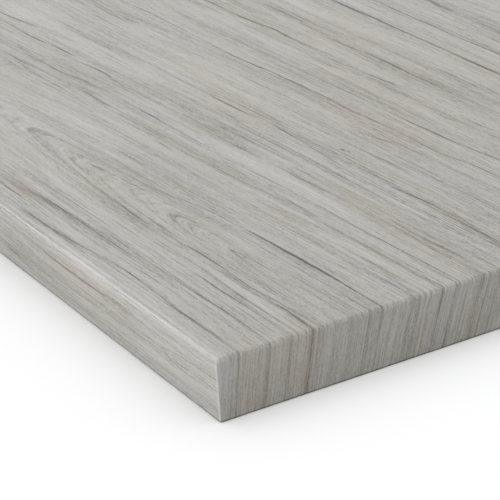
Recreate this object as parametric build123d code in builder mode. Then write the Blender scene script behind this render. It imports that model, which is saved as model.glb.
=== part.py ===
"""Laminate worktop: a particleboard core, faced and backed with laminate sheet, edged all round.

Sizes are in millimetres. The origin is the centre of the underside. +X runs along the length
to the right end, +Y to the back edge and +Z up, so the front edge lies at -Y.
"""

import os

from build123d import *

# The finished worktop
length = 2460.0
depth = 635.0
thickness = 38.0

# The sheets bonded to the two faces of the core
laminate_thickness = 0.8
backing_thickness = 0.6

# The edging band bonded round the four sides
edging_thickness = 3.0

# The arrises: a full rounding milled along the top, and light ones elsewhere
top_radius = 2.9
bottom_radius = 1.0
corner_radius = 1.0

# The core fills what the sheets and the edging leave
core_length = length - 2 * edging_thickness
core_depth = depth - 2 * edging_thickness
core_thickness = thickness - laminate_thickness - backing_thickness

# The joints between the core and the edging, each facing outwards
front_joint = Plane.XZ.offset(core_depth / 2)
back_joint = -Plane.XZ.offset(-core_depth / 2)
right_joint = Plane.YZ.offset(core_length / 2)
left_joint = -Plane.YZ.offset(-core_length / 2)

# Core: one particleboard, sawn to size
with BuildPart() as core_board:
    with BuildSketch(Plane.XY.offset(backing_thickness)):
        Rectangle(core_length, core_depth)
    extrude(amount=core_thickness)
core_board.part.label = "core_board"

# Decor laminate: the printed sheet on the top face, trimmed flush with the core
with BuildPart() as decor_laminate:
    with BuildSketch(Plane.XY.offset(backing_thickness + core_thickness)):
        Rectangle(core_length, core_depth)
    extrude(amount=laminate_thickness)
decor_laminate.part.label = "decor_laminate"

# Backing sheet: the plain balancing sheet on the underside, which keeps the core flat
with BuildPart() as backing_sheet:
    with BuildSketch(Plane.XY):
        Rectangle(core_length, core_depth)
    extrude(amount=backing_thickness)
backing_sheet.part.label = "backing_sheet"

# The outer form that the trimming cutters leave: corners first, then the top and bottom arrises
with BuildPart() as milled_form:
    with BuildSketch(Plane.XY) as plan:
        Rectangle(length, depth)
        fillet(plan.vertices(), corner_radius)
    extrude(amount=thickness)
    fillet(milled_form.faces().sort_by(Axis.Z)[-1].edges(), top_radius)
    fillet(milled_form.faces().sort_by(Axis.Z)[0].edges(), bottom_radius)

# End edgings: bonded first, as long as the core is deep
end_edgings = []
for name, joint in (("left_end_edging", left_joint), ("right_end_edging", right_joint)):
    with BuildPart() as end_edging:
        add(milled_form.part)
        split(bisect_by=joint, keep=Keep.TOP)
        split(bisect_by=front_joint, keep=Keep.BOTTOM)
        split(bisect_by=back_joint, keep=Keep.BOTTOM)
    end_edging.part.label = name
    end_edgings.append(end_edging.part)

# Long edgings: bonded last, running the whole length over the ends of the other two
long_edgings = []
for name, joint in (("front_edging", front_joint), ("back_edging", back_joint)):
    with BuildPart() as long_edging:
        add(milled_form.part)
        split(bisect_by=joint, keep=Keep.TOP)
    long_edging.part.label = name
    long_edgings.append(long_edging.part)

os.makedirs("parts", exist_ok=True)
sheets = (core_board.part, decor_laminate.part, backing_sheet.part)
for piece in (*sheets, *end_edgings, *long_edgings):
    export_step(piece, f"parts/{piece.label}.step")
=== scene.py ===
"""Looks of the laminate worktop: printed wood decor on the top and the edging, seen at one corner.

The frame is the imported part, in metres: +X runs to the right end, -Y is the front edge and +Z is
up. The print is laid out in millimetres: "along" is 0 at the right end and falls to the left,
"across" is 0 at the front edge and grows to the back, and both run on over the edges.
"""

import math

import bmesh
import bpy
from mathutils import Matrix, Vector


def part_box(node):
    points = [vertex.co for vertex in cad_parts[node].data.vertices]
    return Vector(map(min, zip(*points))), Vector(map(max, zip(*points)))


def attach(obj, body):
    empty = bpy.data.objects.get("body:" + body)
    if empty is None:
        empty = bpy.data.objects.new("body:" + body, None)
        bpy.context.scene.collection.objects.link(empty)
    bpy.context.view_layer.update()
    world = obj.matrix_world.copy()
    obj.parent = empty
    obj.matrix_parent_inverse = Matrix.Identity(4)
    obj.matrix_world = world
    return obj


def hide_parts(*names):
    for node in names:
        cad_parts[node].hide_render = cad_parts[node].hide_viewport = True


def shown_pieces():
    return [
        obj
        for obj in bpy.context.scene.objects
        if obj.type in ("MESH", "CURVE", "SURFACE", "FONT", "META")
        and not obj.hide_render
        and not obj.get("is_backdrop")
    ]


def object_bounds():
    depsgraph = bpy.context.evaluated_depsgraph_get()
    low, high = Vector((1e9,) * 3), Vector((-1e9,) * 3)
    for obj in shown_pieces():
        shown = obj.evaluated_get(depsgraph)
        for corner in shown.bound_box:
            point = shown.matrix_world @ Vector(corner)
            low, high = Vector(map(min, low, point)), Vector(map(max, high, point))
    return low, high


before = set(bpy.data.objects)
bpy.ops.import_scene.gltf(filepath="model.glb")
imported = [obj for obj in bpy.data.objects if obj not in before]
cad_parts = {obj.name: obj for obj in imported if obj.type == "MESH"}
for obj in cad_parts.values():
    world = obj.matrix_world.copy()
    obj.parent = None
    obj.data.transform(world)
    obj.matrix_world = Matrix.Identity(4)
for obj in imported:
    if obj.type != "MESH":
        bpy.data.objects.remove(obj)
cad_low, cad_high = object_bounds()

# Core: one particleboard, pressed from glued wood chips and sawn to size. It shows only where
# the worktop is cut open, so it keeps the CAD mesh and gets a chipboard finish.

CHIP_PALE = (0.52, 0.36, 0.20, 1.0)
CHIP_MID = (0.36, 0.22, 0.11, 1.0)
CHIP_DARK = (0.17, 0.095, 0.045, 1.0)
CHIPS_IN_A_METRE = 260.0


class Wire:
    """One socket in a material's node tree. Sums on wires add the Math nodes that work them out."""

    def __init__(self, socket):
        self.socket = socket

    def node(self, kind, inputs, settings=None, output=0):
        """Add a node: its settings first, then the value or the link of each socket."""
        tree = self.socket.id_data
        made = tree.nodes.new(kind)
        for name, value in (settings or {}).items():
            if name == "stops":
                set_stops(made.color_ramp.elements, value)
            elif name == "curve":
                set_curve(made.mapping, value)
            else:
                setattr(made, name, value)
        for name, value in inputs.items():
            if isinstance(value, Wire):
                tree.links.new(value.socket, made.inputs[name])
            else:
                made.inputs[name].default_value = value
        return Wire(made.outputs[output])

    def maths(self, operation, *others):
        return self.node("ShaderNodeMath", dict(enumerate((self, *others))), {"operation": operation})

    def maths_on(self, first, operation):
        return self.node("ShaderNodeMath", {0: first, 1: self}, {"operation": operation})

    def __add__(self, other):
        return self.maths("ADD", other)

    def __radd__(self, other):
        return self.maths_on(other, "ADD")

    def __sub__(self, other):
        return self.maths("SUBTRACT", other)

    def __rsub__(self, other):
        return self.maths_on(other, "SUBTRACT")

    def __mul__(self, other):
        return self.maths("MULTIPLY", other)

    def __rmul__(self, other):
        return self.maths_on(other, "MULTIPLY")

    def __truediv__(self, other):
        return self.maths("DIVIDE", other)

    def __rtruediv__(self, other):
        return self.maths_on(other, "DIVIDE")

    def __abs__(self):
        return self.maths("ABSOLUTE")

    def ease(self, low, high, most=1.0):
        """0 at low, most at high and a smooth rise between; low over high makes it fall."""
        inputs = {"Value": self, "From Min": low, "From Max": high, "To Max": most}
        return self.node("ShaderNodeMapRange", inputs, {"interpolation_type": "SMOOTHSTEP"})

    def curve(self, points, low=0.0, high=1.0):
        """Follow a smooth line through points (where, value), with values from low to high."""
        first, last = points[0][0], points[-1][0]
        shape = [((x - first) / (last - first), (y - low) / (high - low)) for x, y in points]
        run = self.node("ShaderNodeMapRange", {"Value": self, "From Min": first, "From Max": last})
        line = run.node("ShaderNodeFloatCurve", {"Value": run}, {"curve": shape})
        return line if (low, high) == (0.0, 1.0) else line * (high - low) + low

    def scaled(self, factors, shift=(0.0, 0.0, 0.0)):
        """This vector times factors, plus a shift."""
        inputs = {0: self, 1: factors, 2: shift}
        return self.node("ShaderNodeVectorMath", inputs, {"operation": "MULTIPLY_ADD"})

    def noise(self, size, seed=0, detail=2.0, roughness=0.5):
        """Noise from 0 to 1 over this place, with blotches of about this size (x, y, z)."""
        shift = (17.3 * seed, 5.7 * seed, 9.1 * seed)
        spot = self.scaled([1.0 / extent for extent in size], shift)
        inputs = {"Vector": spot, "Scale": 1.0, "Detail": detail, "Roughness": roughness}
        return self.node("ShaderNodeTexNoise", inputs)

    def tint(self, other, share):
        """This colour, mixed towards the other one by a share."""
        return self.node("ShaderNodeMix", {0: share, 6: self, 7: other}, {"data_type": "RGBA"}, 2)

    def ramp(self, *stops):
        """The colour at this value on a ramp of (where, colour) stops."""
        return self.node("ShaderNodeValToRGB", {"Fac": self}, {"stops": stops})


def set_stops(elements, stops):
    while len(elements) < len(stops):
        elements.new(1.0)
    for element, (where, colour) in zip(elements, stops):
        element.position = where
        element.color = colour


def set_curve(mapping, points):
    kept = mapping.curves[0].points
    while len(kept) < len(points):
        kept.new(0.5, 0.5)
    for point, spot in zip(kept, points):
        point.location = spot
    mapping.update()


def start_material(name):
    """Return a new material, its shader, and the place of a point in the frame."""
    material = bpy.data.materials.new(name)
    material.use_nodes = True
    shader = material.node_tree.nodes["Principled BSDF"]
    place = material.node_tree.nodes.new("ShaderNodeTexCoord").outputs["Object"]
    return material, shader, Wire(place)


def link_finish(shader, colour, roughness, height, strength, distance):
    """Link what varies over a surface to its shader."""
    relief = height.node("ShaderNodeBump", {"Height": height, "Strength": strength, "Distance": distance})
    for wire, name in ((colour, "Base Color"), (roughness, "Roughness"), (relief, "Normal")):
        shader.id_data.links.new(wire.socket, shader.inputs[name])


def dress(node, material):
    """Give a CAD node its finish."""
    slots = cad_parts[node].data.materials
    slots.clear()
    slots.append(material)


chipboard, shader, place = start_material("chipboard")
cells = place.node("ShaderNodeTexVoronoi", {"Vector": place, "Scale": CHIPS_IN_A_METRE}, output=1)
chip = cells.node("ShaderNodeSeparateColor", {"Color": cells})
colour = chip.ramp((0.0, CHIP_DARK), (0.3, CHIP_MID), (1.0, CHIP_PALE))
link_finish(shader, colour, 0.8 + chip * 0.15, chip, strength=0.4, distance=0.0006)
dress("core_board", chipboard)

# Backing sheet: thin resin-soaked paper on the underside, plain and pale. It balances the pull
# of the decor sheet, so that the core stays flat. It keeps the CAD mesh.

BACKING_PALE = (0.60, 0.58, 0.54, 1.0)
BACKING_DEEP = (0.50, 0.48, 0.44, 1.0)
CLOUD_SIZE = (0.07, 0.07, 0.07)
MOTTLE_SIZE = (0.0011, 0.0011, 0.0011)

backing, shader, place = start_material("backing_paper")
cloud = place.noise(CLOUD_SIZE, 1, detail=5.0, roughness=0.6)
mottle = place.noise(MOTTLE_SIZE, 2)
colour = (cloud * 0.7 + mottle * 0.3).ramp((0.3, BACKING_DEEP), (0.7, BACKING_PALE))
link_finish(shader, colour, 0.55 + mottle * 0.15, mottle, strength=0.15, distance=0.0002)
dress("backing_sheet", backing)

# Decor sheet: paper printed with a pale grey wood, sealed under resin with a fine satin texture
# and bonded to the top of the core. The print's bands, streaks and arched figure are drawn here.

MM = 1000.0
half_length = cad_high.x
half_depth = cad_high.y
top_height = cad_high.z

# The print's inks: the cool grey of most of the wood, and the brown that stains it
PALE_COOL = (0.542, 0.541, 0.523, 1.0)
MID_COOL = (0.375, 0.369, 0.348, 1.0)
DARK_COOL = (0.098, 0.092, 0.080, 1.0)
PALE_WARM = (0.530, 0.516, 0.475, 1.0)
MID_WARM = (0.363, 0.344, 0.303, 1.0)
DARK_WARM = (0.112, 0.094, 0.071, 1.0)

# Dark streaks: the half width, then points of (along, across, darkness in tenths). The first
# group lies at the back of what the photo shows, and the last ones on the front and the end.
STREAKS = (
    (1.5, (-640, 449, 0), (-569, 445.5, 5), (-545, 443.5, 8), (-520, 441.5, 10), (-495, 440, 8),
     (-460, 436, 6), (-400, 431, 5), (-365, 428, 3), (-340, 425, 6), (-300, 421.5, 6), (-240, 417, 3),
     (-215, 417, 0)),
    (1.2, (-620, 478, 0), (-545, 473, 4), (-500, 468, 5), (-464, 464.5, 6), (-432, 461, 4),
     (-398, 457.5, 4), (-365, 455.5, 6), (-340, 454, 6), (-290, 450, 3), (-265, 450, 0)),
    (2.6, (-620, 470, 0), (-545, 467, 2), (-500, 464, 2), (-440, 459, 0)),
    (2.2, (-580, 512, 0), (-508, 508, 3), (-490, 504, 3.5), (-468, 502, 3.5), (-460, 501.5, 0.6),
     (-440, 500, 0)),
    (3.2, (-470, 500, 0), (-431, 497, 1.5), (-400, 494, 2.5), (-380, 490, 2.5), (-330, 482, 1),
     (-305, 482, 0)),
    (1.3, (-660, 400, 0), (-610, 398, 2), (-560, 396, 3), (-500, 391, 3), (-465, 390, 1.5),
     (-420, 388, 0)),
    (1.4, (-640, 392, 0), (-600, 392, 1.5), (-545, 389, 3), (-520, 387, 0.7), (-480, 385, 0)),
    (1, (-500, 378, 0), (-460, 376.5, 3), (-410, 375.5, 4), (-380, 374.5, 4), (-363, 373, 7),
     (-355, 372.5, 2), (-330, 370, 0)),
    (5, (-360, 372, 0), (-330, 371, 1), (-290, 368, 1.5), (-250, 365, 1), (-200, 362, 0)),
    (1.2, (-720, 362, 0), (-640, 360, 4), (-600, 358, 3), (-565, 355.5, 6), (-545, 356, 4),
     (-525, 356.5, 6), (-510, 355, 6), (-495, 353.5, 3), (-440, 351, 1), (-380, 350, 0)),
    (0.9, (-420, 346, 0), (-395, 346, 2), (-375, 345.5, 1), (-352, 345.5, 6), (-335, 345.5, 6),
     (-325, 344.5, 3), (-290, 343, 0)),
    (0.9, (-440, 338, 0), (-425, 336, 4), (-405, 335, 5), (-390, 335, 0)),
    (0.9, (-760, 302, 0), (-710, 301, 4), (-650, 301, 4), (-605, 298.5, 5), (-560, 296, 3),
     (-520, 293, 4), (-495, 291, 5), (-460, 290.5, 6), (-445, 290.5, 9), (-425, 291, 4),
     (-390, 290.5, 4), (-365, 290.5, 0)),
    (0.9, (-420, 290.5, 0), (-395, 290.5, 3), (-350, 289.5, 5), (-320, 287.5, 4), (-300, 286, 5),
     (-270, 285.5, 3.5), (-235, 285, 2.5), (-200, 282.5, 3.5), (-180, 282, 2.5), (-160, 283.5, 4),
     (-140, 284.5, 3.5), (-110, 285, 2.5), (-60, 286, 0)),
    (0.9, (-560, 316, 0), (-535, 314.5, 3), (-510, 315, 4), (-490, 313, 2), (-470, 312, 0)),
    (0.9, (-470, 312, 0), (-430, 311, 2), (-390, 310, 2), (-345, 308.5, 3.5), (-325, 307.5, 3.5),
     (-300, 306, 2), (-270, 304.5, 4), (-230, 303, 6), (-190, 302.5, 6), (-160, 303, 4),
     (-140, 304.5, 3), (-90, 305, 0)),
    (0.8, (-440, 268, 0), (-400, 267, 3), (-375, 267.5, 4), (-340, 267, 3.5), (-315, 266.5, 3.5),
     (-300, 266, 0)),
    (0.9, (-270, 264, 0), (-250, 264.5, 2.5), (-232, 266.5, 3.5), (-222, 268, 2.5), (-210, 269, 0)),
    (0.8, (-540, 227.5, 0), (-500, 227, 2), (-460, 225.5, 5), (-440, 225, 6), (-425, 225, 4),
     (-400, 224.5, 3), (-380, 223.5, 5), (-350, 223.5, 5), (-330, 225, 1), (-310, 226, 0)),
    (0.9, (-310, 225, 0), (-280, 222.5, 3.5), (-255, 220.5, 2.5), (-225, 218, 4), (-212, 217, 2.5),
     (-195, 216.5, 0)),
    (0.8, (-190, 219, 0), (-165, 219, 1.5), (-135, 220, 4), (-118, 221, 5), (-100, 222, 2.5),
     (-85, 222, 3.5), (-60, 219, 1.5), (-30, 214, 1), (20, 212, 1), (45, 212, 0)),
    (4, (-130, 219, 0), (-90, 219, 1), (-50, 216, 2), (0, 212, 0.7), (60, 212, 0.7)),
    (0.9, (-370, 211, 0), (-352, 211, 4), (-342, 210.5, 3.5), (-330, 210, 0)),
    (1, (-800, 198, 0), (-754, 198.5, 4), (-720, 200, 5), (-700, 202, 6), (-690, 203, 5),
     (-680, 203.5, 0)),
    (1.1, (-740, 188, 0), (-720, 188, 3), (-690, 188, 2), (-660, 187, 5), (-645, 187, 8),
     (-620, 188.5, 5), (-595, 189.5, 6), (-570, 189, 3), (-555, 188, 0)),
    (1, (-560, 185.5, 0), (-545, 186, 3), (-525, 187, 6), (-508, 187, 5), (-490, 184.5, 3),
     (-460, 182, 0)),
    (0.9, (-690, 160, 0), (-650, 160, 3), (-600, 160.5, 3), (-570, 161, 3), (-550, 161, 5),
     (-530, 162, 3), (-508, 165, 4), (-480, 165, 1.5), (-455, 165, 0)),
    (0.9, (-505, 165, 0), (-480, 165, 2), (-420, 165.5, 2), (-404, 165.5, 4), (-388, 166, 6.5),
     (-375, 165.5, 4.5), (-350, 165, 2.5), (-325, 164.5, 1.5), (-290, 164, 0)),
    (0.6, (-300, 164, 0), (-250, 163.5, 1.5), (-190, 163.5, 2.5), (-150, 164, 4), (-110, 163, 4),
     (-70, 163, 5.5), (-40, 163, 6), (-10, 163, 6), (0, 163, 3), (20, 162, 2), (60, 160, 2)),
    (1.1, (-640, 150, 0), (-615, 150, 3), (-597, 149, 5), (-580, 148.5, 2), (-565, 147, 0)),
    (1.1, (-580, 144.5, 0), (-555, 143.5, 4), (-525, 143, 3), (-507, 143.5, 5), (-490, 143, 1),
     (-460, 141, 2), (-440, 140, 0)),
    (1, (-490, 153, 0), (-470, 153, 2), (-455, 152, 3), (-440, 151.5, 3), (-425, 151.5, 0)),
    (1.4, (-330, 155, 0), (-300, 155, 1.5), (-280, 155, 2), (-240, 156, 2), (-200, 155, 1.5),
     (-165, 153.5, 2.5), (-150, 152.5, 2), (-135, 152, 0)),
    (2, (-130, 150, 0), (-110, 149.5, 1), (-95, 150, 1.5), (-80, 150.5, 1.5), (-60, 150, 1.5),
     (-40, 150, 1.5), (-25, 149, 0.7), (0, 151, 0.7), (20, 151.5, 0.7), (60, 151.5, 0.7)),
    (0.8, (-345, 142, 0), (-332, 142, 3), (-322, 141.5, 5), (-314, 141, 3), (-305, 141, 0)),
    (1.3, (-85, 138, 0), (-65, 138, 1.5), (-45, 137.5, 2), (-30, 136.5, 2.5), (-15, 136, 0.3),
     (0, 136, 0.7), (60, 134, 1)),
    (1, (-110, 186, 0), (-95, 185.5, 1.5), (-80, 184.5, 1.5), (-60, 184, 1.5), (-40, 185.5, 1.5),
     (-20, 185, 0.3), (12, 184, 1), (60, 184, 1)),
    (0.9, (-230, 190, 0), (-215, 189.5, 3), (-200, 189, 3.5), (-185, 188, 2), (-170, 187, 0)),
    (1, (-330, 182, 0), (-300, 181, 2), (-280, 181, 3), (-240, 181, 1.5), (-205, 181, 3),
     (-150, 182, 0.5), (-120, 182, 0)),
    (0.65, (-253, 94, 0), (-235, 97, 1.5), (-200, 103.5, 3), (-180, 105, 4), (-160, 106, 4.5),
     (-140, 107, 5), (-116, 107.7, 7.5), (-95, 108, 10), (-80, 108.3, 10), (-66, 108.7, 9),
     (-55, 109, 5), (-30, 108.5, 4), (0, 108, 3), (20, 107, 1), (60, 107, 1)),
    (1.4, (-150, 107, 0), (-105, 108, 4), (-70, 108.6, 4.5), (-45, 109, 0)),
    (0.8, (-30, 109, 0), (0, 109, 1), (60, 109.5, 1)),
    (0.8, (-390, 66, 0), (-350, 66, 1.5), (-300, 65.5, 1.5), (-250, 65, 1.5), (-225, 63.5, 3.5),
     (-205, 63, 3.5), (-190, 64, 2), (-160, 64, 3.5), (-135, 65, 3), (-110, 65, 0)),
    (0.8, (-160, 65, 0), (-135, 65, 3), (-115, 65, 4.5), (-95, 64.5, 4.5), (-75, 63.5, 3),
     (-50, 65, 3.5), (-25, 66, 3.5), (0, 66, 2), (60, 65, 1.5)),
    (0.9, (-110, 61.5, 0), (-80, 62, 2), (-50, 61.5, 2), (-28, 63.5, 4.5), (-10, 62.5, 5),
     (0, 62.5, 3), (60, 62, 3)),
    (1.8, (-60, 63, 0), (-30, 63, 2), (0, 62, 3), (20, 62, 3), (60, 61, 3)),
    (5, (-270, 60, 0), (-220, 59, 1.5), (-170, 60, 0.5), (-100, 61, 0.5), (-60, 62, 0)),
    (0.6, (-230, 48, 0), (-206, 48, 3.5), (-195, 48, 5), (-183, 48, 3.5), (-170, 48, 0.5),
     (-115, 48, 1.5), (-100, 48, 4.5), (-80, 47.5, 4.5), (-62, 48, 4.5), (-40, 48, 1.5), (0, 48, 1),
     (60, 46, 1.5)),
    (0.6, (-350, 41, 0), (-320, 41, 2), (-280, 41, 3), (-240, 41, 1.5), (-200, 40, 0)),
    (0.6, (-260, 34, 0), (-220, 35, 2), (-160, 34, 3), (-100, 34, 3), (-50, 35, 3), (0, 34, 1.5),
     (60, 33, 1)),
    (4, (-360, 24, 0), (-330, 25, 1.5), (-290, 28, 2), (-230, 31, 2), (-180, 31, 1.5), (-120, 30, 0.5),
     (60, 31, 1)),
    (0.6, (-300, 28, 0), (-280, 29, 1.5), (-250, 31, 2), (-220, 31.5, 1.5), (-190, 31, 1.5),
     (-150, 30, 0)),
    (0.7, (-345, 18, 0), (-325, 18, 4.5), (-312, 18, 6), (-300, 18, 4.5), (-285, 17.5, 1.5),
     (-265, 17.5, 1.5), (-245, 17, 0)),
    (3.4, (-290, 9, 0), (-250, 10, 1.5), (-200, 12, 2), (-150, 15, 1.5), (-100, 15, 0.5),
     (-60, 14.5, 1.5), (0, 14, 1), (60, 13, 1)),
    (0.6, (-290, 8, 0), (-262, 9, 2), (-235, 10, 3.5), (-205, 11.5, 3.5), (-180, 13.5, 3.5),
     (-150, 16, 2), (-120, 17, 1.5), (-80, 17, 0)),
    (0.7, (-170, 17, 0), (-140, 17, 1.5), (-110, 16, 2), (-85, 15.5, 3.5), (-65, 15, 6),
     (-48, 15, 4.5), (-25, 15, 3), (0, 14.5, 1.7), (60, 14.5, 1.2)),
    (1.4, (-5, 82, 0), (12, 82, 1), (60, 82, 1)),
    (0.9, (-10, 160.5, 0), (10, 160, 1.5), (60, 159.5, 1.5)),
    (1.6, (-20, 179, 0), (10, 178.5, 1.5), (30, 178, 1.3), (60, 178, 1.3)),
    (0.9, (-330, -3, 0), (-245, -5, 2), (-215, -4, 2.5), (-195, -3, 2), (-170, -3, 0)),
    (0.9, (-300, -9, 0), (-240, -9.5, 2), (-205, -11, 3.5), (-180, -11.5, 3), (-155, -11, 3.5),
     (-142, -10.5, 3), (-130, -9.5, 2.5), (-115, -9, 2.5), (-95, -8.5, 0)),
    (0.8, (-130, -3, 0), (-110, -3, 2.5), (-95, -3.5, 2.5), (-75, -3, 0)),
    (1.2, (-310, -24, 0), (-288, -25.5, 1.5), (-282, -27.5, 2.5), (-272, -28.5, 2.5), (-262, -29, 1),
     (-240, -29, 0)),
    (4, (-340, -28, 0), (-290, -28, 1), (-240, -30, 1), (-200, -31, 0.5), (-120, -33, 0)),
    (0.6, (-66, -18, 0), (-60, -16.5, 2.5), (-50, -15, 3), (-38, -14, 3), (-20, -13, 2.5),
     (0, -12, 1.5), (20, -12, 0)),
    (0.6, (-66, -18, 0), (-60, -19.5, 2), (-50, -21.5, 2.5), (-40, -22.5, 2), (-25, -22, 1),
     (0, -20, 0)),
    (0.5, (-54, -18, 0), (-51, -17, 2.5), (-44, -16.3, 3), (-36, -16.5, 2.5), (-30, -17.5, 0)),
    (0.5, (-54, -18, 0), (-51, -19, 2.5), (-44, -20, 3), (-36, -19.5, 2.5), (-30, -18, 0)),
    (1, (-5, 184.5, 0), (8, 184.5, 1.5), (30, 184, 1.2), (60, 184, 1)),
    (1.2, (-5, 33.5, 0), (8, 33.5, 1.2), (30, 33, 1), (60, 33, 1)),
)

# The arched figure: one arch inside the next, each drawn as its two sides from the tip on
ARCHES = (
    (0.7, (-480, 75, 0), (-460, 77, 1), (-440, 79, 1.7), (-430, 80, 1.9), (-421, 81.5, 1.5),
     (-405, 85, 1.8), (-390, 88, 2.1), (-378, 89.7, 2.1), (-365, 90.5, 1.8), (-345, 91.5, 0.6),
     (-300, 94, 0.6), (-253, 96, 0.6), (-225, 99, 0)),
    (0.8, (-432, 80, 0), (-420, 79.5, 0.9), (-405, 79, 1.2), (-392, 77, 1.8), (-382, 75, 2.1),
     (-370, 73, 2.4), (-360, 72, 1.2), (-345, 70.5, 0.9), (-325, 69, 0.9), (-290, 68, 0.6),
     (-230, 67, 0)),
    (0.6, (-366, 84, 0), (-363, 85.5, 2), (-356, 87.5, 1.5), (-330, 90, 1.5), (-300, 92, 1),
     (-270, 94.5, 1), (-240, 96, 0)),
    (0.6, (-366, 84, 0), (-363, 82, 2), (-352, 79, 2), (-330, 75, 2), (-300, 72, 1.5),
     (-270, 69.5, 1.5), (-230, 67.5, 0)),
    (0.8, (-295, 81.5, 0), (-285, 83, 1.5), (-275, 85.5, 3), (-265, 87.5, 4.5), (-256, 88, 4),
     (-248, 89, 2), (-225, 91, 1), (-190, 95, 0)),
    (0.6, (-292, 81.5, 0), (-285, 80, 1.5), (-272, 77.5, 1.5), (-255, 74.5, 2), (-230, 71.5, 1.5),
     (-190, 68.5, 0)),
    (0.6, (-237, 84, 0), (-234, 85.5, 1.5), (-226, 88, 1.5), (-210, 90.5, 1), (-180, 94, 0.5),
     (-150, 97, 0)),
    (0.6, (-237, 84, 0), (-234, 82.5, 1.5), (-222, 79.5, 1.5), (-200, 76, 1.5), (-175, 73.5, 1),
     (-140, 71, 0)),
    (0.6, (-205, 84.5, 0), (-202, 86, 1.2), (-195, 88.5, 1.2), (-178, 91.5, 1), (-150, 94, 0)),
    (0.6, (-205, 84, 0), (-202, 81.5, 1.2), (-194, 78.5, 1.2), (-178, 75.5, 1), (-150, 73, 0)),
    (0.7, (-185, 86, 0), (-181, 87.5, 1.5), (-174, 90.5, 1.5), (-160, 94, 1.2), (-140, 96, 0.5),
     (-120, 97, 0)),
    (0.7, (-185, 85, 0), (-181, 83, 1.5), (-172, 80, 1.5), (-155, 77, 1.2), (-135, 75, 0.5),
     (-120, 74, 0)),
    (0.6, (-122, 84, 0), (-117, 86, 1), (-108, 89, 1.5), (-90, 92, 0.5), (-70, 93, 0)),
    (0.6, (-122, 84, 0), (-117, 81, 1), (-106, 78, 1.5), (-90, 76, 0.5), (-70, 75, 0)),
)

# How much a drawn line takes off the tone at ten tenths, and how far it wanders off its points
DARKEST = 0.85
LINE_WANDER = 1.4

# Brown stains, and cooler places below 0: along, across, half length, half width and strength
STAINS = (
    (-352, 152, 40, 5, 1.0),
    (-251, 151, 45, 4, 1.0),
    (-60, 150, 60, 4, 0.8),
    (-40, 138, 30, 3, 0.8),
    (-150, 140, 22, 4, 0.8),
    (-335, 182, 45, 6, 1.0),
    (-146, 191, 30, 4, 0.6),
    (-510, 156, 40, 6, 0.8),
    (-610, 224, 60, 6, 0.8),
    (-523, 267, 60, 5, 0.9),
    (-675, 271, 30, 12, 0.6),
    (-428, 336, 40, 4, 0.8),
    (-525, 347, 35, 4, 0.6),
    (-560, 389, 60, 5, 0.6),
    (-308, 24, 25, 4, 0.9),
    (-250, 110, 60, 6, 0.7),
    (-160, -10, 60, 3, 0.9),
    (15, 55, 40, 12, 0.8),
    (-430, 400, 110, 70, 0.4),
    (-380, 240, 140, 80, 0.25),
    # Painted highlight: a cool pale band just behind the front's top arris
    (-180, 6, 150, 6, -0.7),
    (15, 95, 45, 60, 0.3),
    (-300, 84, 130, 9, -0.6),
    (-270, 330, 150, 110, 0.35),
    (-600, 215, 130, 70, -0.35),
    (-150, -22, 110, 14, 0.3),
)

# Broad soft bands, pale ones below 0: along, across, half length, half width and strength
BROAD_BANDS = (
    (-440, 186, 60, 6, 0.10),
    (-320, 184, 45, 9, 0.16),
    (-50, 185, 60, 6, 0.10),
    (-230, 171, 150, 6, -0.07),
    (-470, 154, 30, 6, 0.04),
    (-250, 152, 60, 5, 0.07),
    (-45, 138, 60, 6, -0.08),
    (-415, 122, 70, 7, -0.08),
    (-80, 127, 90, 7, -0.04),
    (-230, 112, 60, 5, 0.13),
    (-430, 103, 60, 8, 0.08),
    (-130, 97, 60, 6, -0.08),
    (-225, 61, 60, 5, 0.05),
    (-190, 47, 60, 7, -0.09),
    (-270, 29, 80, 5, 0.06),
    (-175, 21, 90, 4, -0.08),
    (-160, 13, 120, 4, 0.08),
    # Painted highlight: a pale band just behind the front's top arris
    (-180, 4.5, 150, 4.2, -0.06),
    (-265, -16, 75, 24, 0.09),
    (-475, 485, 60, 8, -0.07),
    (-465, 455, 45, 16, 0.04),
    (-560, 420, 50, 10, -0.03),
    (-560, 389, 60, 6, 0.03),
    (-340, 371, 90, 8, 0.12),
    (-440, 362, 60, 5, -0.08),
    (-630, 332, 60, 14, -0.13),
    (-500, 311, 90, 6, -0.12),
    (-320, 270, 50, 6, -0.08),
    (-690, 276, 70, 13, 0.10),
    (-580, 227, 70, 9, 0.10),
    (-230, 221, 110, 5, 0.07),
    (-745, 232, 50, 25, -0.14),
    (-260, 352, 50, 8, 0.06),
    (-65, 63, 45, 3, 0.08),
    (-415, 81, 30, 4, -0.07),
    (-424, 81, 16, 3, -0.05),
    (-58, 147, 50, 14, -0.09),
    (-135, 200, 60, 10, -0.04),
    (-75, 114, 40, 6, 0.07),
    (-120, -25.5, 110, 3.5, -0.10),
    (-52, -24.5, 50, 4.5, -0.13),
    (18, 32, 30, 26, -0.04),
)

# Small dark flecks, given in the same way
FLECKS = (
    (-320, 83.5, 5, 0.8, 0.3),
    (-311, 84, 6, 1.5, 0.32),
    (-232, 234, 3, 0.9, 0.55),
    (-226, 235, 2.5, 0.8, 0.45),
    (-640, 350, 26, 4.0, 0.22),
    (-662, 282, 14, 1.6, 0.14),
    (-640, 276, 10, 1.2, 0.2),
    (-212, 337, 20, 1.2, 0.25),
    (-240, 329, 12, 1.0, 0.25),
)

# The marks above end at three lines on the sheet, and past them noise makes streaks and stains
# like them. Each line: how much across and along count towards it, and where it starts and ends
DRAWN_UP_TO = (
    (-2.3, -1.0, 320.0, 420.0),
    (0.82, -1.0, 940.0, 1040.0),
    (1.28, 1.0, 290.0, 370.0),
)

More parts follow.
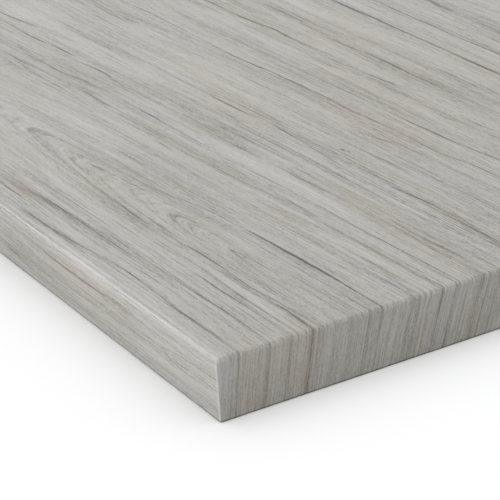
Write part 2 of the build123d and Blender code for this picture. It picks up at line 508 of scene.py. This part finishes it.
# The heart of the trunk: how far across the sheet it lies, and how deep below, along the
# length. The growth rings are arcs round it, and show as arches where the depth changes.
HEART_LINE = (
    (-2500, 128), (-2200, 112), (-1850, 106), (-1500, 118), (-1200, 114), (-900, 94), (-600, 84),
    (-300, 83), (60, 83),
)
HEART_DEPTH = (
    (-2500, 10), (-2250, 30), (-2000, 6), (-1700, 38), (-1450, 10), (-1200, 34), (-950, 46),
    (-700, 36), (-460, 24), (-240, 12), (-20, 0), (60, 3),
)
HEART_LINE_MOST = 200.0
HEART_DEPTH_MOST = 64.0

# The rings are BACK_WIDER millimetres wider behind the heart, and wander by RING_WANDER
BACK_WIDER = 7.0
BACK_WIDER_WITHIN = 24.0
RING_WANDER = 9.0

# Behind FAN_FROM the wood fans out, by FAN_TURN radians a millimetre, near the right end only
FAN_FROM = 162.0
FAN_TURN = 0.000336
FAN_REACH = 900.0

# The grain, from coarse to fine: the size of its blotches along the wood, out from the heart and
# to the side, the noise's number, detail and roughness, and its share in the tone
GRAIN = {
    "broad": ((520, 20, 60), 2, 1.0, 0.5, 0.4),
    "bands": ((300, 6.5, 70), 3, 2.0, 0.6, 0.32),
    "lines": ((120, 2.2, 50), 4, 3.0, 0.6, 0.5),
    "fibres": ((52, 1.15, 16), 5, 2.0, 0.6, 0.5),
    "dashes": ((10, 0.9, 10), 12, 2.0, 0.6, 0.58),
    "grit": ((1.8, 1.1, 3), 11, 1.0, 0.6, 0.46),
}
MEAN_TONE = 0.508

# The shares of thin dark veins and hairs, of thin pale gleams, of the streaks past the drawn
# marks, and of the stains
VEIN_SHARE = 0.12
HAIR_SHARE = 0.16
GLEAM_SHARE = 0.12
SEAM_SHARE = 0.42
STAIN_SHARE = 0.08

# The edging: calmed towards one tone, with painted shade a little darker downwards, a painted
# shadow along the lower arris, and a painted highlight up the upright corners
EDGE_CALM = 0.24
EDGE_TONE = 0.51
EDGE_PAINTED_SHADE = 0.07
LOWER_ARRIS_PAINTED_SHADOW = 0.32
CORNER_HIGHLIGHT_PAINT = 0.25

# The satin of the resin, and how much less rough it is on the fibres and on the buffed top arris
SATIN = 0.46
FIBRE_SHEEN = 0.1
ARRIS_SHEEN = 0.14
STIPPLE_SIZE = (0.0007, 0.0007, 0.0007)

# The slant of the lines down the ends: SLANT at the front edge, and more towards the back
SLANT = 0.13
SLANT_GAIN = 0.0012
SLANT_MOST = 0.36


def unfold(place):
    """Turn a point of the frame into the print's along and across, as if its edges lay flat.

    Also return how far it has dropped below the top, and where the upright corners get a painted
    highlight.
    """
    parts = place.node("ShaderNodeSeparateXYZ", {"Vector": place}).socket.node.outputs
    x, y, z = (Wire(part) for part in parts)
    along = (x - half_length) * MM
    across = (y + half_depth) * MM
    drop = (top_height - z) * MM
    at_end = (half_depth - abs(y)).maths("GREATER_THAN", half_length - abs(x))
    slant = (across * SLANT_GAIN + SLANT).maths("MINIMUM", SLANT_MOST)
    sideways = at_end * slant + (1.0 - at_end) * y.maths("SIGN")
    rim = (half_length - abs(x) + half_depth - abs(y)) * MM
    # A painted highlight up the upright corners of the long bands
    painted_corner_highlight = rim.ease(2.2, 1.0) * (1.0 - at_end) * drop.ease(1.0, 4.0)
    return along + drop * x.maths("SIGN") * at_end, across + drop * sideways, drop, painted_corner_highlight


def away_from(spot, where, line, half_run, half_width):
    """How far a spot is from the middle of an oval: 0 there and 1 at its rim."""
    shift = (-where / half_run, -line / half_width, 0.0)
    away = spot.scaled((1.0 / half_run, 1.0 / half_width, 1.0), shift)
    return away.node("ShaderNodeVectorMath", {0: away}, {"operation": "LENGTH"}, 1)


def wood_flow(along, across):
    """Return the place in the trunk: along it, out from its heart, and to the side of the heart."""
    swing = (along / FAN_REACH).maths("SINE") * FAN_REACH
    fan = (across - FAN_FROM).maths("MAXIMUM", 0.0) * FAN_TURN
    side = across + fan * swing - along.curve(HEART_LINE, 0.0, HEART_LINE_MOST)
    side = side + side.ease(0.0, BACK_WIDER_WITHIN, BACK_WIDER)
    depth = along.curve(HEART_DEPTH, 0.0, HEART_DEPTH_MOST)
    ring = (side * side + depth * depth).maths("SQRT")
    flow = ring.node("ShaderNodeCombineXYZ", {"X": along, "Y": ring, "Z": side})
    ring = ring + (flow.noise((260, 40, 90), 1, 1.0) - 0.5) * RING_WANDER
    return ring.node("ShaderNodeCombineXYZ", {"X": along, "Y": ring, "Z": side})


def past_drawn(along, across):
    """0 where the marks are drawn, and 1 past the lines where they end."""
    behind = across.maths("MAXIMUM", 0.0)
    past = 0.0
    for across_share, along_share, start, end in DRAWN_UP_TO:
        far = (behind * across_share + along * along_share).ease(start, end)
        past = far.maths("MAXIMUM", past)
    return past


def drawn_lines(along, printed):
    """How dark the streaks and arches make the print here."""
    dark = 0.0
    for half_width, *points in STREAKS + ARCHES:
        low = min(point[1] for point in points) - 1.0
        high = max(point[1] for point in points) + 1.0
        middle = along.curve([(where, line) for where, line, _ in points], low, high)
        strength = along.curve([(where, tenths / 10) for where, _, tenths in points])
        off = (printed - middle) / half_width
        bell = off * off + 1.0
        dark = strength * DARKEST / (bell * bell) + dark
    return dark


def print_tone(along, across, drop, painted_corner_highlight):
    """Return the print's tone, its warmth, its fibres, and the roughness over it."""
    flow = wood_flow(along, across)
    tone = MEAN_TONE
    grain = {}
    for name, (size, number, detail, roughness, share) in GRAIN.items():
        grain[name] = flow.noise(size, number, detail, roughness)
        tone = (grain[name] - 0.5) * share + tone
    hairs = flow.noise((260, 1.2, 60), 13).ease(0.56, 0.72)
    gleams = flow.noise((260, 1.1, 60), 14).ease(0.56, 0.72)
    veins = abs(flow.noise((420, 9, 80), 6, 2.0, 0.55) - 0.5).ease(0.03, 0.0)
    veins = veins * flow.noise((90, 5, 40), 7).ease(0.4, 0.65)
    tone = tone - veins * VEIN_SHARE - hairs * HAIR_SHARE + gleams * GLEAM_SHARE

    printed = across + (flow.noise((45, 9, 30), 8) - 0.5) * LINE_WANDER
    broken = flow.noise((38, 1.6, 30), 9) * 1.6 + 0.2
    dark = drawn_lines(along, printed) * broken
    past = past_drawn(along, across)
    seams = abs(flow.noise((700, 11, 90), 15, 2.0, 0.5) - 0.5).ease(0.03, 0.0)
    dark = past * seams * flow.noise((260, 9, 50), 16).ease(0.42, 0.66, SEAM_SHARE) + dark
    spot = along.node("ShaderNodeCombineXYZ", {"X": along, "Y": printed})
    for *oval, strength in BROAD_BANDS + FLECKS:
        dark = away_from(spot, *oval).ease(1.8, 0.0, strength) + dark
    tone = tone - dark
    tone = tone + (EDGE_TONE - tone) * drop.ease(0.0, 4.0, EDGE_CALM)
    # Painted shade: darker down the edging, and a painted shadow along the lower arris
    tone = tone - drop.ease(6.0, 40.0, EDGE_PAINTED_SHADE) - drop.ease(36.5, 37.3, LOWER_ARRIS_PAINTED_SHADOW)
    # A painted highlight up the upright corners
    tone = tone + painted_corner_highlight * CORNER_HIGHLIGHT_PAINT

    warmth = flow.noise((180, 24, 60), 10).ease(0.32, 0.82)
    patchy = grain["lines"] + 0.4
    stains = [flow.noise((150, 11, 60), 17).ease(0.6, 0.8) * past]
    for *oval, strength in STAINS:
        stains.append(away_from(spot, *oval).ease(1.8, 0.0, strength) * patchy)
    for stain in stains:
        warmth = stain + warmth
        tone = tone - stain * STAIN_SHARE
    buffed = drop.ease(0.1, 0.8, ARRIS_SHEEN) * drop.ease(4.5, 3.0)
    return tone, warmth, grain["fibres"], SATIN - grain["fibres"] * FIBRE_SHEEN - buffed


decor, shader, place = start_material("printed_decor")
tone, warmth, fibres, roughness = print_tone(*unfold(place))
cool = tone.ramp((0.0, DARK_COOL), (0.5, MID_COOL), (1.0, PALE_COOL))
warm = tone.ramp((0.0, DARK_WARM), (0.5, MID_WARM), (1.0, PALE_WARM))
stipple = place.noise(STIPPLE_SIZE, 3, 1.0)
texture = fibres + stipple * 0.5
link_finish(shader, cool.tint(warm, warmth), roughness, texture, strength=0.12, distance=0.0002)
shader.inputs["Specular IOR Level"].default_value = 0.25

sheet_low, sheet_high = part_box("decor_laminate")


def make_piece(name, build, material, node):
    """Make a piece of the frame from mesh code. It stands for a CAD node."""
    shape = bmesh.new()
    build(shape)
    mesh = bpy.data.meshes.new(name)
    shape.to_mesh(mesh)
    shape.free()
    mesh.materials.append(material)
    piece = bpy.data.objects.new(name, mesh)
    bpy.context.scene.collection.objects.link(piece)
    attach(piece, "root")
    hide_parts(node)
    return piece


# The picture baked for the sheet holds the top of its two bays, one above the other, at this
# many metres a side. What the sheet hides gets small cells beside them, as shares of a side.
SHEET_PICTURE = 1.3
PICTURE_RIM = 0.01
BAY_PITCH = 0.49
CELLS_FROM = 0.965
CELL_WIDTH = 0.025
CELL_HEIGHT = 0.09
CELL_GAP = 0.03


def sheet_mesh(shape):
    """A thin slab in two bays along its length."""
    picture = shape.loops.layers.uv.new("OFBake")

    def lay_out(face, bay, side):
        for corner in face.loops:
            spot = corner.vert.co
            run = spot.x - min(other.vert.co.x for other in face.loops)
            if side == "top":
                start = PICTURE_RIM + BAY_PITCH * bay
                line = (spot.y - sheet_low.y) / SHEET_PICTURE
                corner[picture].uv = (PICTURE_RIM + run / SHEET_PICTURE, start + line)
            else:
                wide = spot.y > 0.0 if side in ("under", "end") else run > 0.0
                high = run > 0.0 if side == "under" else spot.z > (sheet_low.z + sheet_high.z) / 2
                cell = ("front", "under", "back", "end").index(side) + 4 * bay
                start = 2 * PICTURE_RIM + (CELL_HEIGHT + CELL_GAP) * cell
                corner[picture].uv = (CELLS_FROM + CELL_WIDTH * wide, start + CELL_HEIGHT * high)

    corners = (
        (sheet_low.y, sheet_low.z), (sheet_high.y, sheet_low.z),
        (sheet_high.y, sheet_high.z), (sheet_low.y, sheet_high.z),
    )
    rows = []
    for x in (sheet_low.x, 0.0, sheet_high.x):
        rows.append([shape.verts.new((x, y, z)) for y, z in corners])
    for bay, (here, there) in enumerate(zip(rows, rows[1:])):
        for n, side in enumerate(("front", "under", "back", "top")):
            lay_out(shape.faces.new((here[n], here[n - 1], there[n - 1], there[n])), bay, side)
    lay_out(shape.faces.new(rows[0]), 0, "end")
    lay_out(shape.faces.new(reversed(rows[-1])), 1, "end")
    bmesh.ops.recalc_face_normals(shape, faces=shape.faces)


make_piece("decor_sheet", sheet_mesh, decor, "decor_laminate")

# Edging: bands of the same print, bonded round the four sides and milled flush, with a full
# rounding along the top and a light one below. The long bands lap the ends of the short ones.

EDGING = 3.0
TOP_RADIUS = 3.0
BOTTOM_RADIUS = 1.0
CORNER_RADIUS = 1.0
TOP_STEPS = 12
BOTTOM_STEPS = 5
CORNER_STEPS = 8
BAYS = 16

# A narrow flat beside each rounding keeps the shading of the wide face flat
FLAT = 0.3

length, depth, thickness = (2 * half_length * MM, 2 * half_depth * MM, top_height * MM)


def band_profile():
    """The outer face of a band from below to the top, as (distance in, height) in millimetres."""
    points = [(EDGING, 0.0)]
    for n in range(BOTTOM_STEPS + 1):
        turn = math.pi / 2 * n / BOTTOM_STEPS
        points.append((BOTTOM_RADIUS * (1 - math.sin(turn)), BOTTOM_RADIUS * (1 - math.cos(turn))))
    points.append((0.0, BOTTOM_RADIUS + FLAT))
    points.append((0.0, thickness - TOP_RADIUS - FLAT))
    for n in range(TOP_STEPS + 1):
        turn = math.pi / 2 * n / TOP_STEPS
        points.append((TOP_RADIUS * (1 - math.cos(turn)), thickness - TOP_RADIUS * (1 - math.sin(turn))))
    return points


def band_path(inset, laps):
    """The way a profile point goes, seen from above with the band at the bottom, in millimetres.

    A band that laps turns two corners, and stops where the other bands begin.
    """
    if not laps:
        end = depth / 2 - EDGING
        return [(-end + 2 * end * n / BAYS, inset) for n in range(BAYS + 1)]
    radius = min(CORNER_RADIUS, EDGING - inset)
    half = length / 2 - inset
    front = -depth / 2 + inset
    path = [(-half, -depth / 2 + EDGING)]
    for n in range(CORNER_STEPS + 1):
        turn = math.pi / 2 * n / CORNER_STEPS
        path.append((-half + radius * (1 - math.cos(turn)), front + radius * (1 - math.sin(turn))))
    straight = 2 * (half - radius)
    other = [(-u, v) for u, v in reversed(path)]
    path += [(-half + radius + straight * n / BAYS, front) for n in range(1, BAYS)]
    return path + other


# The picture baked for a band: the gap between its strips in millimetres, how much taller it is
# than all of them, and the glued faces' cells and the two caps beside them, as shares of a side
STRIP_GAP = 2.0
TALLER = 1.03
GLUED_FROM = 0.89
GLUED_TO = 0.93
GLUED_PITCH = 0.028
GLUED_HEIGHT = 0.02
CAP_FROM = 0.95
CAP_ROWS = (0.05, 0.55)
CAP_WIDTH = 0.013
CAP_HEIGHT = 0.01


def steps_along(points):
    """How far along a line each of its points is."""
    steps = [0.0]
    for here, there in zip(points, points[1:]):
        steps.append(steps[-1] + math.dist(here, there))
    return steps


def band_builder(laps, place):
    """Return the mesh code of a closed band; place turns its millimetres into the frame.

    Its baked picture holds the outer face cut into strips, one above the other, with small
    cells beside them for the faces that are glued.
    """
    profile = band_profile()
    up = steps_along(profile)
    run = steps_along(band_path(0.0, laps))
    strips = 8 if laps else 4
    pitch = up[-1] + STRIP_GAP
    side = strips * pitch * TALLER

    def build(shape):
        picture = shape.loops.layers.uv.new("OFBake")

        def add_face(corners, spots):
            for corner, spot in zip(shape.faces.new(corners).loops, spots):
                corner[picture].uv = spot

        rows = []
        for inset, height in profile:
            path = band_path(inset, laps)
            rows.append([shape.verts.new(place(u, v, height / MM)) for u, v in path])
        starts = {}
        for n in range(len(run) - 1):
            strip = int((run[n] + run[n + 1]) / 2 / run[-1] * strips)
            start = starts.setdefault(strip, run[n])
            left, right = (PICTURE_RIM + (end - start) / side for end in (run[n], run[n + 1]))
            lines = [PICTURE_RIM + (strip * pitch + height) / side for height in up]
            for m in range(len(profile) - 1):
                quad = (rows[m][n], rows[m][n + 1], rows[m + 1][n + 1], rows[m + 1][n])
                low, high = lines[m], lines[m + 1]
                add_face(quad, ((left, low), (right, low), (right, high), (left, high)))
            low = PICTURE_RIM + GLUED_PITCH * n
            high = low + GLUED_HEIGHT
            quad = (rows[-1][n], rows[-1][n + 1], rows[0][n + 1], rows[0][n])
            add_face(quad, ((GLUED_FROM, low), (GLUED_TO, low), (GLUED_TO, high), (GLUED_FROM, high)))
        for n, order, start in ((0, 1, CAP_ROWS[0]), (-1, -1, CAP_ROWS[1])):
            spots = []
            for inset, height in profile[::order]:
                spots.append((CAP_FROM + inset * CAP_WIDTH, start + height * CAP_HEIGHT))
            add_face([row[n] for row in rows[::order]], spots)
        bmesh.ops.remove_doubles(shape, verts=shape.verts, dist=1e-6)
        bmesh.ops.recalc_face_normals(shape, faces=shape.faces)
        for face in shape.faces:
            face.smooth = True

    return build


BANDS = (
    ("front_band", "front_edging", True, lambda u, v, z: (u / MM, v / MM, z)),
    ("back_band", "back_edging", True, lambda u, v, z: (-u / MM, -v / MM, z)),
    ("right_end_band", "right_end_edging", False, lambda u, v, z: (half_length - v / MM, u / MM, z)),
    ("left_end_band", "left_end_edging", False, lambda u, v, z: (v / MM - half_length, -u / MM, z)),
)
for name, node, laps, place in BANDS:
    band = make_piece(name, band_builder(laps, place), decor, node)
    band.data.set_sharp_from_angle(angle=math.radians(40))

# Floor: plain and white, and wide enough to reach past every view. The light that it throws back
# is that of a grey one, so that it shows white and doesn't light the edging too much.

FLOOR_SEEN = (0.985, 0.987, 0.995, 1.0)
FLOOR_LIT = (0.75, 0.75, 0.75, 1.0)

bpy.ops.mesh.primitive_plane_add(size=80.0)
floor = bpy.context.object
floor.name = "floor"
floor_paint, shader, _ = start_material("floor_paint")
shader.inputs["Roughness"].default_value = 1.0
shader.inputs["Specular IOR Level"].default_value = 0.0


def seen_share(tree):
    """1 for rays that show a surface to the camera, straight or by a mirror, and 0 for light."""
    rays = tree.nodes.new("ShaderNodeLightPath").outputs
    seen = Wire(rays["Is Camera Ray"]) + Wire(rays["Is Glossy Ray"]) + Wire(rays["Is Transmission Ray"])
    return seen.maths("MINIMUM", 1.0)


share = seen_share(floor_paint.node_tree)
paint = share.node("ShaderNodeMix", {0: share, 6: FLOOR_LIT, 7: FLOOR_SEEN}, {"data_type": "RGBA"}, 2)
floor_paint.node_tree.links.new(paint.socket, shader.inputs["Base Color"])
floor.data.materials.append(floor_paint)
floor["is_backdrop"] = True

# Light: an even pale room, one soft lamp in front of the worktop that gives no gloss, and one far
# along the worktop that shows only as gloss on the front's top arris.

ROOM_LOW = 0.48
ROOM_HIGH = 1.305
LAMP_FROM_CORNER = Vector((-0.97, -3.17, 0.62))
LAMP_SIZE = 1.0
LAMP_POWER = 53.0
GLOSS_LAMP_FROM_CORNER = Vector((-2.10, -0.50, 1.21))
GLOSS_LAMP_SIZE = 0.6
GLOSS_LAMP_POWER = 8.5

world = bpy.data.worlds.new("room")
bpy.context.scene.world = world
world.use_nodes = True
sky = world.node_tree.nodes["Background"]
share = seen_share(world.node_tree)
way = Wire(world.node_tree.nodes.new("ShaderNodeTexCoord").outputs["Generated"])
height = Wire(way.node("ShaderNodeSeparateXYZ", {"Vector": way}).socket.node.outputs["Z"])
room = height.maths("MAXIMUM", 0.0) * (ROOM_HIGH - ROOM_LOW) + ROOM_LOW
world.node_tree.links.new((room + share * (1.0 - room)).socket, sky.inputs["Strength"])
sky.inputs["Color"].default_value = (1.0, 1.0, 1.0, 1.0)

corner = Vector((half_length, -half_depth, 0.0))
lit = bpy.data.collections.new("lit_by_lamps")
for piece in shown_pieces():
    lit.objects.link(piece)


def add_lamp(name, from_corner, size, power):
    """Add a round lamp that faces the near corner and lights only the worktop."""
    light = bpy.data.lights.new(name, "AREA")
    light.shape = "DISK"
    light.size = size
    light.energy = power
    lamp = bpy.data.objects.new(name, light)
    lamp.location = corner + from_corner
    lamp.rotation_euler = (-from_corner).to_track_quat("-Z", "Y").to_euler()
    lamp.visible_camera = False
    lamp.light_linking.receiver_collection = lit
    bpy.context.scene.collection.objects.link(lamp)
    return lamp


soft_lamp = add_lamp("soft_lamp", LAMP_FROM_CORNER, LAMP_SIZE, LAMP_POWER)
soft_lamp.visible_glossy = False
gloss_lamp = add_lamp("gloss_lamp", GLOSS_LAMP_FROM_CORNER, GLOSS_LAMP_SIZE, GLOSS_LAMP_POWER)
gloss_lamp.visible_diffuse = False

# Camera: low beyond the near corner, looking back along the front edge, and rolled a little.

CAMERA_FROM_CORNER = Vector((0.7613, -0.3992, 0.4629))
CAMERA_TURN = math.radians(60.849)
CAMERA_DIP = math.radians(22.858)
CAMERA_ROLL = math.radians(-3.943)
CAMERA_LENS = 128.97

level = math.cos(CAMERA_DIP)
ahead = Vector((-math.sin(CAMERA_TURN) * level, math.cos(CAMERA_TURN) * level, -math.sin(CAMERA_DIP)))
right = Vector((math.cos(CAMERA_TURN), math.sin(CAMERA_TURN), 0.0))
above = right.cross(ahead)
rolled_right = right * math.cos(CAMERA_ROLL) + above * math.sin(CAMERA_ROLL)
rolled_above = above * math.cos(CAMERA_ROLL) - right * math.sin(CAMERA_ROLL)
aim = Matrix((rolled_right, rolled_above, -ahead)).transposed().to_4x4()
camera_data = bpy.data.cameras.new("camera")
camera_data.lens = CAMERA_LENS
camera_data.sensor_width = 36.0
camera_data.clip_start = 0.01
camera = bpy.data.objects.new("camera", camera_data)
camera.matrix_world = Matrix.Translation(corner + CAMERA_FROM_CORNER) @ aim
bpy.context.scene.collection.objects.link(camera)
bpy.context.scene.camera = camera
bpy.context.scene.view_settings.view_transform = "Standard"
